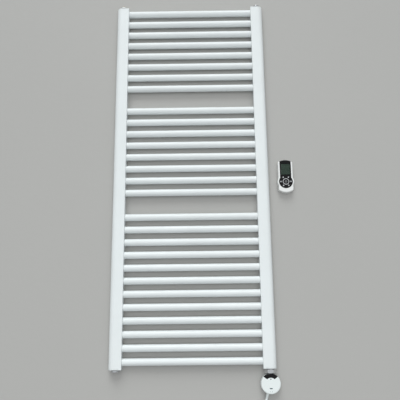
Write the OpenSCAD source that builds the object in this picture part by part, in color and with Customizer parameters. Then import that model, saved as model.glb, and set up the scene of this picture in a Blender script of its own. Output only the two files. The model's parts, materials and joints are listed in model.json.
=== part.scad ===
// Electric ladder towel rail with a round infrared control head, a mains
// cord and its hand remote. It lies on its back: +X right, +Y to the top end,
// +Z out of the front. Millimetres. The origin is on the back plane, at the
// middle of the welded rail.

/* [Rail] */
// overall width across both collectors
rail_w = 500; // [440:10:600]
// width of one collector, seen from the front
collector_w = 40; // [36:1:46]
// depth of a collector, front to back
collector_t = 30; // [28:1:34]
// wall of a collector
collector_wall = 1.5; // [1.2:0.1:2.5]
// outer diameter of a cross tube
tube_d = 22; // [18:1:25]
// wall of a cross tube
tube_wall = 1.25; // [1:0.05:2]
// distance between neighbouring tube centres
tube_pitch = 40; // [34:1:46]
// tubes in the group nearest the top end
upper_tubes = 8; // [4:1:10]
// tubes in the middle group
middle_tubes = 8; // [4:1:10]
// tubes in the group nearest the control head
lower_tubes = 12; // [6:1:14]
// top tube centre to the collectors' top ends
top_margin = 18; // [16:1:60]
// bottom tube centre to the collectors' bottom ends
bottom_margin = 22; // [16:1:60]

/* [Ports] */
// port centre in from the rail's outer side
port_inset = 20; // [18:1:22]
// thickness of a welded end plate
plate_t = 3; // [2:0.5:5]
// radius of a port's thread wall
port_r = 9.3; // [9:0.1:10]
// radius of a plug's head or a washer
plug_r = 13; // [12:0.5:14]
// across flats of the heating element's nut
nut_af = 30; // [27:1:30]
// length of the heating rod inside the collector
rod_len = 590; // [300:10:900]

/* [Control head] */
// radius of the round control head
head_r = 29; // [28:0.5:34]
// depth of the control head, back to front
head_t = 28; // [26:1:32]
// control head centre below the collector's end
head_drop = 42.5; // [42:0.5:60]
// inner radius of the black receiver window
window_r = 17; // [14:0.5:20]

/* [Remote] */
// remote centre line to the right of the rail's middle
remote_x = 304.6; // [290:1:400]
// height of the remote's round key field along the rail
remote_y = -27; // [-300:1:300]
// width of the remote's straight upper part
remote_w = 47; // [44:1:52]
// radius of the remote's round bulge
remote_bulge_r = 26.5; // [25:0.5:30]

/* [Cord] */
// diameter of the mains cord
cord_d = 6; // [5:0.5:7]
// direction of the cord's exit, left of straight down
cord_angle = 16; // [0:1:30]

/* [Hidden] */
$fn = 64;

white = [0.93, 0.95, 0.95];
black = [0.03, 0.03, 0.035];
steel = [0.75, 0.76, 0.78];
eps = 0.01;

// The rail.
spans = upper_tubes + middle_tubes + lower_tubes + 1; // two group gaps of two pitches
rail_h = spans * tube_pitch + top_margin + bottom_margin;
top_y = rail_h / 2;
mid_z = collector_t / 2;
inner_x = rail_w / 2 - collector_w;
side_r = collector_t / 2;
tube_r = tube_d / 2;
bore_r = tube_r - tube_wall;
upper_y = top_y - top_margin;
middle_y = upper_y - (upper_tubes + 1) * tube_pitch;
lower_y = middle_y - (middle_tubes + 1) * tube_pitch;
upper_ys = [for (i = [0:upper_tubes - 1]) upper_y - i * tube_pitch];
middle_ys = [for (i = [0:middle_tubes - 1]) middle_y - i * tube_pitch];
lower_ys = [for (i = [0:lower_tubes - 1]) lower_y - i * tube_pitch];
tube_ys = concat(upper_ys, middle_ys, lower_ys);

// The ports, their washers and plugs.
port_x = rail_w / 2 - port_inset;
boss_r = mid_z - collector_wall - 0.5;
boss_len = 14;
shank_r = port_r - 0.05;
shank_len = 12;
washer_t = 1.5;
plug_head_t = 5;

// The control head, from its own centre.
head_x = port_x;
head_y = -top_y - head_drop;
head_z0 = (collector_t - head_t) / 2;
head_z1 = head_z0 + head_t;
shell_wall = 2;
edge_r = 3;
split_z = head_z1 - 7;
seal_t = 0.4;
spigot_r = 6;
nut_len = head_drop - head_r - washer_t - 0.5;
screw_x = head_r - 8;
board_z = split_z - 0.2;
board_t = 1.6;
key_y = -13;
led_y = 13;

// The cord, from the head's centre. Its points lie on one smooth route.
cord_r = cord_d / 2;
guard_len = 22;
guard_z = 9;
lead_points = [[-14.1, -49.0, 9], [-15.6, -54, 8.8], [-17, -60, 7.8], [-18, -66, 6.2],
    [-18.8, -72, 4.8], [-19.3, -78, 4], [-19.7, -85, 3.8], [-19.9, -92, 3.8],
    [-20, -99, 3.8], [-20, -106, 3.8]];
tail_points = [[-60, -144.5, 9.8], [-67, -144.7, 9.8], [-74, -144.9, 9.9],
    [-81, -145, 10.5], [-88, -145, 12], [-95, -145, 14.1], [-102, -145, 16.3],
    [-110, -145, 18.3], [-118, -145, 19]];
coil_pos = [-60, -106];
coil_in = 21;
coil_out = 43;
coil_z = 0.8;
coil_h = 12;
tie_t = 0.8;
plug_at = [-118, -145, 19];
plug_guard_len = 30;
plug_len = 40;
plug_body_r = 19;
pin_len = 19;
pin_r = 2.4;
pin_gap = 19;

// The remote, from its key field's centre.
remote_split = 11;
remote_top = 19.4;
face_z0 = 17.4;
face_z1 = 20;
remote_wall = 1.8;
face_hw = 18;
face_r = 22;
display_hw = 14.7;
display_y0 = 23;
display_y1 = 59.4;
key_r = 2.3;
key_top = 20.8;
key_z0 = 16.2;
key_spots = [[-8.3, 14], [8.3, 14], [-16, 0], [16, 0], [-8.3, -13.3], [8.3, -13.3]];
cell_r = 5.2;
cell_len = 44.5;
cell_x = 5.4;
cell_z = 7;
bay_y0 = -15;
cover_hw = 13;

module collector_outline(inset = 0) {
    translate([inset, inset])
        square([collector_w - side_r - inset, collector_t - 2 * inset]);
    translate([collector_w - side_r, side_r]) circle(side_r - inset);
}

// a flat outline stood up along Y: its x stays, its y becomes z
module along_y(y0, y1) {
    translate([0, y1, 0]) rotate([90, 0, 0]) linear_extrude(y1 - y0) children();
}

module rod_y(r, y0, y1, x = 0, z = 0, sides = 64) {
    translate([x, y1, z]) rotate([90, 0, 0]) cylinder(h = y1 - y0, r = r, $fn = sides);
}

module rod_x(r, x0, x1, y = 0, z = 0) {
    translate([x0, y, z]) rotate([0, 90, 0]) cylinder(h = x1 - x0, r = r);
}

module collector() {
    color(white) difference() {
        translate([inner_x, 0, 0])
            along_y(-top_y + plate_t, top_y - plate_t) collector_outline();
        translate([inner_x, 0, 0])
            along_y(-top_y, top_y) collector_outline(collector_wall);
        for (y = tube_ys) rod_x(bore_r, inner_x - 1, inner_x + 5, y, mid_z);
    }
}

module end_plate() {
    bevel = 0.6;
    difference() {
        union() {
            translate([inner_x, 0, 0]) {
                along_y(top_y - plate_t, top_y - bevel) collector_outline();
                along_y(top_y - bevel - eps, top_y) collector_outline(bevel);
            }
            rod_y(boss_r, top_y - boss_len, top_y - 1, port_x, mid_z);
        }
        rod_y(port_r, top_y - boss_len - 1, top_y + 1, port_x, mid_z);
    }
}

module end_plates() {
    color(white) {
        end_plate();
        mirror([0, 1, 0]) end_plate();
    }
}

module tube(y) {
    difference() {
        rod_x(tube_r, -inner_x, inner_x, y, mid_z);
        rod_x(bore_r, -inner_x - 1, inner_x + 1, y, mid_z);
    }
}

module tubes(ys) {
    color(white) for (y = ys) tube(y);
}

module collector_left() { mirror([1, 0, 0]) collector(); }
module collector_right() { collector(); }
module end_plates_left() { mirror([1, 0, 0]) end_plates(); }
module end_plates_right() { end_plates(); }
module tubes_upper() { tubes(upper_ys); }
module tubes_middle() { tubes(middle_ys); }
module tubes_lower() { tubes(lower_ys); }

// Children drawn for the top right port, set at one of the four ports.
module at_port(right, top) {
    mirror([right ? 0 : 1, 0, 0]) mirror([0, top ? 0 : 1, 0])
        translate([port_x, top_y, mid_z]) children();
}

module port_washer() {
    difference() {
        rod_y(plug_r, 0, washer_t);
        rod_y(port_r, -1, washer_t + 1);
    }
}

module port_washers() {
    color([0.25, 0.25, 0.26]) {
        at_port(false, true) port_washer();
        at_port(true, true) port_washer();
        at_port(false, false) port_washer();
        at_port(true, false) port_washer();
    }
}

module blanking_plug() {
    lip = washer_t + plug_head_t;
    difference() {
        union() {
            rod_y(shank_r, -shank_len, washer_t);
            rod_y(plug_r, washer_t, lip - 1.5);
            rod_y(plug_r - 1.5, lip - 1.5 - eps, lip);
            translate([0, lip - 1.5, 0]) rotate([90, 0, 0]) rotate_extrude()
                translate([plug_r - 1.5, 0]) circle(1.5);
        }
        rod_y(5.8, lip - 4, lip + 1, sides = 6);
    }
}

module blanking_plugs() {
    color(steel) {
        at_port(false, false) blanking_plug();
        at_port(true, true) blanking_plug();
    }
}

vent_flange = washer_t + 2.5;
vent_neck_r = 5;
vent_top = 10;

module vent_body() {
    color(steel) at_port(false, true) difference() {
        union() {
            rod_y(shank_r, -shank_len, washer_t);
            rod_y(12.5, washer_t, vent_flange);
            rod_y(vent_neck_r, vent_flange - eps, vent_top);
        }
        rod_y(3.05, -6, vent_top + 1);
        rod_y(1.5, -shank_len - 1, 0);
    }
}

module vent_spout() {
    color(white) at_port(false, true) difference() {
        union() {
            rod_y(7.5, vent_flange + 0.2, vent_top - 0.2);
            translate([6.5, (vent_flange + vent_top) / 2, 0]) rotate([0, 90, 0])
                cylinder(h = 4.5, r = 1.8);
        }
        rod_y(vent_neck_r + 0.05, 0, vent_top + 1);
        translate([5, (vent_flange + vent_top) / 2, 0]) rotate([0, 90, 0])
            cylinder(h = 8, r = 0.8);
    }
}

module vent_screw() {
    color([0.78, 0.66, 0.36]) at_port(false, true) difference() {
        union() {
            rod_y(3, -5, vent_top + 0.2);
            rod_y(6, vent_top + 0.2, vent_top + 2);
        }
        translate([-7, vent_top + 1, -0.6]) cube([14, 2, 1.2]);
    }
}

module element_nut() {
    nut_r = nut_af / 2 / cos(30);
    hex_end = washer_t + nut_len;
    color(steel) at_port(true, false) {
        rod_y(shank_r, -shank_len, washer_t);
        intersection() {
            rod_y(nut_r, washer_t, hex_end, sides = 6);
            union() {
                rod_y(nut_r + 1, washer_t + 1, hex_end - 1);
                rod_y(nut_r - 1, washer_t, hex_end);
            }
        }
        rod_y(spigot_r, hex_end - eps, hex_end + 14);
    }
}

module heating_rod() {
    color([0.6, 0.6, 0.62]) translate([port_x - 4, 0, mid_z]) {
        rod_y(4.5, -top_y + shank_len, -top_y + shank_len + rod_len);
        translate([0, -top_y + shank_len + rod_len, 0]) sphere(4.5);
    }
}

module temperature_probe() {
    color(steel) translate([port_x + 5, 0, mid_z])
        rod_y(2.5, -top_y + shank_len, -top_y + shank_len + 190);
}

// Everything in the head is drawn round the head's own axis.
module at_head() { translate([head_x, head_y, 0]) children(); }

module disc(r, z0, z1, x = 0, y = 0) {
    translate([x, y, z0]) cylinder(h = z1 - z0, r = r);
}

module head_back_shell() {
    inner_r = head_r - shell_wall;
    top_z = split_z - seal_t;
    color(white) at_head() difference() {
        union() {
            difference() {
                rotate_extrude() {
                    translate([0, head_z0]) square([head_r - edge_r, top_z - head_z0]);
                    translate([0, head_z0 + edge_r])
                        square([head_r, top_z - head_z0 - edge_r]);
                    translate([head_r - edge_r, head_z0 + edge_r]) intersection() {
                        circle(edge_r);
                        translate([0, -edge_r]) square(edge_r);
                    }
                }
                disc(inner_r, head_z0 + shell_wall, top_z + 1);
            }
            for (x = [-screw_x, screw_x]) disc(3.5, head_z0 + 1, board_z, x);
            intersection() {
                rod_y(8.5, 14, inner_r + 1, 0, mid_z);
                disc(head_r - 1, head_z0 + 1, top_z);
            }
            disc(3.5, head_z0 + 1, mid_z - spigot_r, 0, 21);
        }
        rod_y(spigot_r + 0.05, 14 - 1, head_r + 1, 0, mid_z);
        for (x = [-screw_x, screw_x]) {
            disc(1.5, head_z0 - 1, board_z + 1, x);
            disc(2.8, head_z0 - 1, head_z0 + 2.4, x);
        }
        disc(2.05, head_z0 - 1, mid_z, 0, 21);
        translate([0, 0, guard_z]) rotate([0, 0, -cord_angle])
            rod_y(4.55, -head_r - 1, -inner_r + 3);
    }
}

module head_cap() {
    h = head_z1 - split_z;
    translate([0, 0, split_z]) rotate_extrude() difference() {
        union() {
            square([head_r - edge_r, h]);
            square([head_r, h - edge_r]);
            translate([head_r - edge_r, h - edge_r]) intersection() {
                circle(edge_r);
                square(edge_r);
            }
        }
        translate([-1, -1]) square([head_r - shell_wall + 1, h - shell_wall + 1]);
    }
}

module window_sector() {
    far = head_r + 3;
    in_a = 40.5;
    out_a = 46.5;
    translate([0, 0, split_z - 1]) linear_extrude(20) difference() {
        polygon([[-(window_r - 1) * sin(in_a), (window_r - 1) * cos(in_a)],
            [(window_r - 1) * sin(in_a), (window_r - 1) * cos(in_a)],
            [far * sin(out_a), far * cos(out_a)], [far * sin(20), far * 1.1],
            [-far * sin(20), far * 1.1], [-far * sin(out_a), far * cos(out_a)]]);
        circle(window_r);
    }
}

module key_outline(grow = 0) {
    square([5.4, 2.6 + 2 * grow], center = true);
    for (x = [-2.7, 2.7]) translate([x, 0]) circle(1.3 + grow);
}

module head_front_cover() {
    color(white) at_head() difference() {
        union() {
            difference() {
                head_cap();
                window_sector();
            }
            for (x = [-screw_x, screw_x])
                disc(3.2, board_z + board_t, head_z1 - 1, x);
        }
        translate([0, key_y, split_z]) linear_extrude(20) key_outline(0.25);
        disc(1.65, split_z, head_z1 + 1, 0, led_y);
        for (x = [-2.8, 2.8]) disc(0.9, head_z1 - 0.6, head_z1 + 1, x, -22);
        for (x = [-screw_x, screw_x]) disc(1.3, split_z - 1, head_z1 - 3, x);
    }
}

module head_seal() {
    color([0.3, 0.31, 0.32]) at_head() difference() {
        disc(head_r - 0.3, split_z - seal_t, split_z);
        disc(head_r - shell_wall, split_z - 1, split_z + 1);
    }
}

module receiver_window() {
    color(black) at_head() intersection() {
        head_cap();
        window_sector();
    }
}

module status_lens() {
    color([0.35, 0.1, 0.08]) at_head() disc(1.6, head_z1 - 3.5, head_z1 + 0.1, 0, led_y);
}

module power_key() {
    color([0.3, 0.42, 0.45]) at_head() translate([0, key_y, 0]) {
        translate([0, 0, head_z1 - 3]) linear_extrude(0.95) key_outline(0.9);
        translate([0, 0, head_z1 - 3]) linear_extrude(3.3) key_outline();
    }
}

module power_switch() {
    color(black) at_head() translate([0, key_y, board_z + board_t]) {
        translate([-3, -3, 0]) cube([6, 6, 1]);
        cylinder(h = 1.8, r = 1.5);
    }
}

module control_board() {
    color([0.1, 0.35, 0.2]) at_head() difference() {
        disc(24, board_z, board_z + board_t);
        for (x = [-screw_x, screw_x]) disc(1.6, 0, head_z1, x);
    }
}

module power_relay() {
    color([0.15, 0.2, 0.35]) at_head()
        translate([-10, -8, board_z - 12]) cube([20, 15, 12]);
}

module infrared_receiver() {
    color(black) at_head() translate([-3, 18, board_z + board_t]) {
        cube([6, 4, 2.5]);
        translate([3, 2, 2.5 - eps]) cylinder(h = 0.8, r = 1.5);
    }
}

module terminal_block() {
    color([0.8, 0.8, 0.75]) at_head() difference() {
        translate([3, -22, head_z0 + shell_wall]) cube([12, 9, 8]);
        for (x = [5, 9, 13]) disc(1.3, head_z0 + shell_wall + 3, 20, x, -17.5);
    }
}

module head_screws() {
    color(steel) at_head() for (x = [-screw_x, screw_x]) difference() {
        union() {
            disc(1.3, head_z0 + 2, head_z1 - 3.5, x);
            disc(2.6, head_z0 + 0.6, head_z0 + 2.4, x);
        }
        translate([x - 1.6, -0.3, head_z0]) cube([3.2, 0.6, 1.4]);
        translate([x - 0.3, -1.6, head_z0]) cube([0.6, 3.2, 1.4]);
    }
}

module lock_screw() {
    color([0.2, 0.2, 0.21]) at_head() difference() {
        disc(2, head_z0 + 0.8, mid_z - spigot_r, 0, 21);
        translate([0, 21, 0]) cylinder(h = head_z0 + 3, r = 1.15, $fn = 6);
    }
}

module cord_guard() {
    tip = head_r + guard_len;
    color(white) at_head() translate([0, 0, guard_z]) rotate([0, 0, -cord_angle]) {
        rod_y(4.5, -head_r - 1, -head_r + 3.5);
        translate([0, -head_r, 0]) rotate([90, 0, 0])
            cylinder(h = guard_len, r1 = 4.5, r2 = 3.7);
    }
}

// A tube swept along a route: each ring of points stands square to the route.
function unit(v) = v / norm(v);
function route_dir(p, i) = unit(p[min(i + 1, len(p) - 1)] - p[max(i - 1, 0)]);
function ring(p, i, r, sides) =
    let (d = route_dir(p, i), a = unit(cross(d, [0, 0, 1])), b = cross(a, d))
    [for (k = [0:sides - 1]) p[i] + r * (cos(360 * k / sides) * a + sin(360 * k / sides) * b)];

module swept_tube(p, r, sides = 10) {
    n = len(p);
    points = [for (i = [0:n - 1]) each ring(p, i, r, sides)];
    walls = [for (i = [0:n - 2], k = [0:sides - 1])
        let (a = i * sides + k, b = i * sides + (k + 1) % sides)
        each [[a, b, b + sides], [a, b + sides, a + sides]]];
    caps = [[for (k = [sides - 1:-1:0]) k], [for (k = [0:sides - 1]) (n - 1) * sides + k]];
    polyhedron(points, concat(walls, caps));
}

module cord_lead() { color(white) at_head() swept_tube(lead_points, cord_r); }
module cord_tail() { color(white) at_head() swept_tube(tail_points, cord_r); }

module coil_section(grow = 0) {
    a = coil_in - grow;
    b = coil_out + grow;
    z0 = coil_z - grow;
    z1 = coil_z + coil_h + grow;
    polygon([[a + 2, z0], [b - 2, z0], [b, z0 + 2], [b, z1 - 2], [b - 2, z1],
        [a + 2, z1], [a, z1 - 2], [a, z0 + 2]]);
}

module cord_coil() {
    color(white) at_head() translate(coil_pos) rotate_extrude() coil_section();
}

module cord_tie() {
    color(black) at_head() translate(coil_pos) rotate([0, 0, 130])
        rotate_extrude(angle = 9) difference() {
            coil_section(tie_t);
            coil_section();
        }
}

// The plug points to -X from the end of the cord.
module at_plug() { at_head() translate(plug_at) mirror([1, 0, 0]) children(); }

module plug_guard() {
    color(white) at_plug() rotate([0, 90, 0])
        cylinder(h = plug_guard_len, r1 = 3.7, r2 = 6);
}

module plug_body() {
    x0 = plug_guard_len;
    face = x0 + plug_len;
    color(white) at_plug() difference() {
        union() {
            translate([x0, 0, 0]) rotate([0, 90, 0]) cylinder(h = 20, r1 = 11, r2 = 16);
            rod_x(plug_body_r, x0 + 20 - eps, face);
        }
        for (z = [-1, 1]) translate([x0 + 19, -3, z * (plug_body_r - 1.2) - 1.3])
            cube([plug_len, 6, 2.6]);
    }
}

module plug_pins() {
    face = plug_guard_len + plug_len;
    color(steel) at_plug() for (y = [-pin_gap / 2, pin_gap / 2]) {
        rod_x(pin_r, face, face + pin_len - 1.5, y);
        translate([face + pin_len - 1.5, y, 0]) rotate([0, 90, 0])
            cylinder(h = 1.5, r1 = pin_r, r2 = 1.4);
    }
}

module plug_earth_clips() {
    face = plug_guard_len + plug_len;
    color(steel) at_plug() for (z = [-1, 1])
        translate([face - 19, -2.2, z * (plug_body_r - 2) - 0.5]) cube([19, 4.4, 1]);
}

// Everything in the remote is drawn round the middle of its key field.
module at_remote() { translate([remote_x, remote_y, 0]) children(); }

module top_arch(half_w) {
    intersection() {
        translate([-half_w, 0]) square([2 * half_w, 80]);
        translate([0, 22.5]) circle(49);
    }
}

module remote_outline(inset = 0) {
    top_arch(remote_w / 2 - inset);
    translate([0, 0.5]) circle(remote_bulge_r - inset);
    intersection() {
        translate([-remote_w / 2 + inset, -40]) square([remote_w - 2 * inset, 50]);
        translate([0, 5]) circle(40 - inset);
    }
}

module face_outline(inset = 0) {
    top_arch(face_hw - inset);
    circle(face_r - inset);
}

module remote_layer(z0, z1) { translate([0, 0, z0]) linear_extrude(z1 - z0) children(); }

// the inside of the case, with a wall on every side
module remote_room(z0, z1) {
    remote_layer(z0, z1) intersection() {
        remote_outline(remote_wall);
        translate([-40, -60]) square([80, 60 + 71.5 - remote_wall]);
    }
}

module cover_slot(gap = 0) {
    translate([-cover_hw - gap, -60, -1])
        cube([2 * (cover_hw + gap), 60 + bay_y0 + cell_len + 4 + gap, 1 + 1.6 + gap]);
}

module remote_back_shell() {
    color(white) at_remote() difference() {
        union() {
            remote_layer(0, 1) remote_outline(1);
            remote_layer(1 - eps, remote_split) remote_outline();
        }
        remote_room(1.6, remote_split + 1);
        cover_slot();
    }
}

module remote_front_shell() {
    color(white) at_remote() difference() {
        union() {
            remote_layer(remote_split, remote_top - 1.6) remote_outline();
            remote_layer(remote_top - 1.6 - eps, remote_top - 0.6) remote_outline(0.6);
            remote_layer(remote_top - 0.6 - eps, remote_top) remote_outline(1.6);
        }
        remote_room(remote_split - 1, face_z0 - 0.2);
        remote_layer(face_z0, face_z1 + 1) face_outline();
        remote_layer(face_z0 - 1, face_z1 + 1) face_outline(1.5);
        translate([-face_hw, 60, remote_split - 1]) cube([2 * face_hw, 20, 12]);
    }
}

module remote_face() {
    color(black) at_remote() difference() {
        remote_layer(face_z0, face_z1) face_outline(0.1);
        translate([-display_hw, display_y0, face_z0 - 1])
            cube([2 * display_hw, display_y1 - display_y0, 6]);
        for (k = key_spots) disc(key_r + 0.2, 0, 30, k[0], k[1]);
        disc(7.9, 0, 30);
    }
}

module remote_emitter_window() {
    color([0.09, 0.03, 0.04]) at_remote() difference() {
        remote_layer(remote_split, face_z0) intersection() {
            remote_outline();
            translate([-face_hw + 0.1, 60]) square([2 * face_hw - 0.2, 20]);
        }
        translate([-face_hw + 2, 55, remote_split + 1.6])
            cube([2 * face_hw - 4, 13.5, 3]);
    }
}

module remote_display_glass() {
    color([0.12, 0.17, 0.14]) at_remote()
        translate([-display_hw + 0.1, display_y0 + 0.1, 19.2])
            cube([2 * display_hw - 0.2, display_y1 - display_y0 - 0.2, 0.7]);
}

module remote_display() {
    color([0.25, 0.33, 0.27]) at_remote()
        translate([-display_hw + 0.5, display_y0 + 0.5, 16.6])
            cube([2 * display_hw - 1, display_y1 - display_y0 - 1, 2.6]);
}

module remote_ring() {
    color(steel) at_remote() difference() {
        disc(10.3, face_z1, face_z1 + 0.5);
        disc(8.3, 0, 30);
    }
}

module remote_keypad_mat() {
    color([0.2, 0.2, 0.21]) at_remote() difference() {
        disc(20, 14, 15.2);
        translate([-25, 17, 0]) cube([50, 20, 30]);
    }
}

module remote_board() {
    color([0.1, 0.35, 0.2]) at_remote() remote_layer(12.4, 14) intersection() {
        remote_outline(2.4);
        translate([-40, -32]) square([80, 91]);
    }
}

module remote_batteries() {
    color([0.7, 0.5, 0.2]) at_remote() for (x = [-cell_x, cell_x]) {
        rod_y(cell_r, bay_y0, bay_y0 + cell_len - 0.8, x, cell_z);
        rod_y(1.9, bay_y0 + cell_len - 1, bay_y0 + cell_len, x, cell_z);
    }
}

module remote_battery_contacts() {
    color(steel) at_remote() {
        for (x = [-cell_x, cell_x])
            translate([x, bay_y0, cell_z]) rotate([90, 0, 0]) cylinder(h = 2.4, r1 = 2.5, r2 = 4);
        translate([-10, bay_y0 - 2.9, 3]) cube([20, 0.5, 8]);
        translate([-10, bay_y0 + cell_len, 3]) cube([20, 0.5, 8]);
    }
}

module remote_battery_cover() {
    color(white) at_remote() intersection() {
        union() {
            remote_layer(0, 1) remote_outline(1);
            remote_layer(1 - eps, 1.5) remote_outline();
        }
        translate([-cover_hw + 0.1, -60, -1])
            cube([2 * cover_hw - 0.2, 60 + bay_y0 + cell_len + 3.9, 5]);
    }
}

module small_key(i) {
    color([0.72, 0.73, 0.74]) at_remote() translate(key_spots[i]) {
        disc(key_r, key_z0, key_top);
        disc(key_r + 0.9, key_z0, face_z0 - 0.05);
    }
}

module remote_key_upper_left() { small_key(0); }
module remote_key_upper_right() { small_key(1); }
module remote_key_left() { small_key(2); }
module remote_key_right() { small_key(3); }
module remote_key_lower_left() { small_key(4); }
module remote_key_lower_right() { small_key(5); }

module remote_key_center() {
    color(black) at_remote() {
        disc(7.7, key_z0, key_top - 0.3);
        disc(8.4, key_z0, face_z0 - 0.05);
        disc(4.4, key_z0, key_top + 0.2);
    }
}

collector_left();
collector_right();
end_plates_left();
end_plates_right();
tubes_upper();
tubes_middle();
tubes_lower();
port_washers();
blanking_plugs();
vent_body();
vent_spout();
vent_screw();
element_nut();
heating_rod();
temperature_probe();
head_back_shell();
head_front_cover();
head_seal();
receiver_window();
status_lens();
power_key();
power_switch();
control_board();
power_relay();
infrared_receiver();
terminal_block();
head_screws();
lock_screw();
cord_guard();
cord_lead();
cord_coil();
cord_tail();
cord_tie();
plug_guard();
plug_body();
plug_pins();
plug_earth_clips();
remote_back_shell();
remote_front_shell();
remote_face();
remote_emitter_window();
remote_display_glass();
remote_display();
remote_ring();
remote_keypad_mat();
remote_board();
remote_batteries();
remote_battery_contacts();
remote_battery_cover();
remote_key_center();
remote_key_upper_left();
remote_key_upper_right();
remote_key_left();
remote_key_right();
remote_key_lower_left();
remote_key_lower_right();
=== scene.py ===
import json
import math

import bpy
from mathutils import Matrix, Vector

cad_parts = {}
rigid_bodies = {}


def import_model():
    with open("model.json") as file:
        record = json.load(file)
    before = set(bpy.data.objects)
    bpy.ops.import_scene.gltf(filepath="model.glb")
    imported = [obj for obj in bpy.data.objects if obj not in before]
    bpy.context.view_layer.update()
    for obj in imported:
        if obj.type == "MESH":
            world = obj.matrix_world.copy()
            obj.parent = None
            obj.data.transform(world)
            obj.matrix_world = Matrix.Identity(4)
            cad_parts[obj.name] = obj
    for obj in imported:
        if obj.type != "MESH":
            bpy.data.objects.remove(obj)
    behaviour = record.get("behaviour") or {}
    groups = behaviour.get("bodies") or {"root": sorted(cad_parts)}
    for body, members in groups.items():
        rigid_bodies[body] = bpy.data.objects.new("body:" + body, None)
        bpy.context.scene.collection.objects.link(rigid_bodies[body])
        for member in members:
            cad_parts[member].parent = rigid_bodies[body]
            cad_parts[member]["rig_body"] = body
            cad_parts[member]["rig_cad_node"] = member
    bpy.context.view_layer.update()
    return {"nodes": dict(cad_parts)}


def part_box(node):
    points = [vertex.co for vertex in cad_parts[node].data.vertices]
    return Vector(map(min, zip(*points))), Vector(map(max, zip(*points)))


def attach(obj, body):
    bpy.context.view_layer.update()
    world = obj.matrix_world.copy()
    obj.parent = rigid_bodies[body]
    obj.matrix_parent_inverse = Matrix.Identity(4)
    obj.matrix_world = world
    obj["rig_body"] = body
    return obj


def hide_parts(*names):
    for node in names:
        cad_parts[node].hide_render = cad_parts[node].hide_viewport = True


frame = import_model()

bl_info = {
    "name": "Ladder Towel Rail",
    "version": (1, 0, 0),
    "blender": (4, 5, 0),
    "location": "View3D > Sidebar > Towel Rail",
    "description": "Builds an electric ladder towel rail with its control head, cord and remote",
    "category": "Object",
}

MM = 0.001


def middle(node):
    """The centre of a CAD node's box."""
    low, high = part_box(node)
    return (low + high) / 2


HEAD = middle("head_back_shell")
HEAD.z = 0.0
REMOTE = middle("remote_ring")
REMOTE.z = 0.0
RAIL_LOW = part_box("collector_left")[0]
RAIL_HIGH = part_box("collector_right")[1]
RAIL_DEPTH = RAIL_HIGH.z - RAIL_LOW.z
TINY_EDGE = 0.012 * MM
SAME_PLACE = 0.01 * MM
BOSS_RADIUS, BOSS_LENGTH, THREAD_RADIUS = 13 * MM, 14 * MM, 9.3 * MM
HEX_THICK, HEX_CHAMFER = 11.5 * MM, 1.6 * MM

# The remote's outline, from the middle of its key field.
REMOTE_HALF = 23.5 * MM
REMOTE_WALL = 1.8 * MM
REMOTE_CORNER = 4 * MM
REMOTE_TOP_ARCH, REMOTE_TOP_MIDDLE = 49 * MM, 22.5 * MM
REMOTE_FOOT_ARCH, REMOTE_FOOT_MIDDLE = 40 * MM, 5 * MM
REMOTE_BULGE, REMOTE_BULGE_MIDDLE = 26.5 * MM, 0.5 * MM
FACE_HALF = 18 * MM
FACE_ROUND = 22 * MM
KEY_WORDS = ("center", "upper_left", "upper_right", "left", "right", "lower_left",
             "lower_right")

# The cord's route, from the head's centre on the floor, in metres.
LEAD_POINTS = [(-0.0141, -0.0490, 0.009), (-0.0156, -0.054, 0.0088),
               (-0.017, -0.060, 0.0078), (-0.018, -0.066, 0.0062),
               (-0.0188, -0.072, 0.0048), (-0.0193, -0.078, 0.004),
               (-0.0197, -0.085, 0.0038), (-0.0199, -0.092, 0.0038),
               (-0.020, -0.099, 0.0038)]
TAIL_POINTS = [(-0.067, -0.1447, 0.0098), (-0.074, -0.1449, 0.0099),
               (-0.081, -0.145, 0.0105), (-0.088, -0.145, 0.012),
               (-0.095, -0.145, 0.0141), (-0.102, -0.145, 0.0163),
               (-0.110, -0.145, 0.0183), (-0.118, -0.145, 0.019)]
COIL_CENTRE = Vector((-0.060, -0.106, 0.0))
COIL_LOW = 0.0038


# ---------------------------------------------------------------- properties

class RailSizes(bpy.types.PropertyGroup):
    weld_fillet: bpy.props.FloatProperty(
        name="Weld Fillet", description="Radius of the fillet where a tube meets a collector",
        default=1.8 * MM, min=0.5 * MM, max=3 * MM, subtype="DISTANCE", unit="LENGTH")
    edge_soften: bpy.props.FloatProperty(
        name="Edge Softening", description="Rounding of the painted rail's edges",
        default=0.7 * MM, min=0.1 * MM, max=2 * MM, subtype="DISTANCE", unit="LENGTH")
    plastic_soften: bpy.props.FloatProperty(
        name="Moulded Edge", description="Rounding of the moulded pieces' small edges",
        default=0.25 * MM, min=0.05 * MM, max=1 * MM, subtype="DISTANCE", unit="LENGTH")
    remote_round: bpy.props.FloatProperty(
        name="Remote Rounding", description="Rounding of the remote's outer edge",
        default=2.6 * MM, min=1 * MM, max=4 * MM, subtype="DISTANCE", unit="LENGTH")
    cord_diameter: bpy.props.FloatProperty(
        name="Cord Diameter", description="Outside diameter of the mains cord",
        default=6 * MM, min=4 * MM, max=8 * MM, subtype="DISTANCE", unit="LENGTH")
    floor_size: bpy.props.FloatProperty(
        name="Floor Size", description="Side of the square floor",
        default=12.0, min=4.0, max=40.0, subtype="DISTANCE", unit="LENGTH")


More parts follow.
